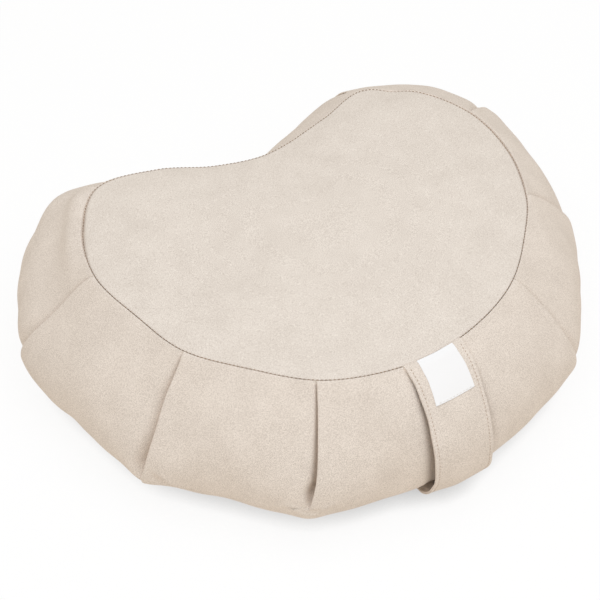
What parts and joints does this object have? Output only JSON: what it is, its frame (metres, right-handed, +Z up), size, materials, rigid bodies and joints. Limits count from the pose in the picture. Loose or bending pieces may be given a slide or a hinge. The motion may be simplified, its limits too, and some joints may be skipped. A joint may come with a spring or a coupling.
{
  "type": "crescent meditation cushion",
  "caption": "Crescent floor cushion for sitting meditation: cotton canvas over loose fill, knife-pleated side band, gently crowned top and a sewn carrying strap at the front.",
  "frame": {"origin": "centre of the bounding box at the surface the cushion lies on", "axes": "+X along the crescent's length, +Y towards its hollow side (the strap is on the -Y side), +Z up"},
  "size_m": [0.4766, 0.3992, 0.122],
  "materials": {
    "canvas_band": "matt plain-weave natural cotton canvas, side band",
    "canvas_panel": "matt plain-weave natural cotton canvas, top and bottom panels",
    "canvas_strap": "matt natural cotton canvas folded double, edge stitched",
    "label_satin": "smooth white satin-weave tape, bare"
  },
  "bodies": {
    "root": {"cushion_body": "canvas_band", "top_panel": "canvas_panel", "bottom_panel": "canvas_panel", "handle_strap": "canvas_strap", "label": "label_satin"}
  },
  "joints": []
}
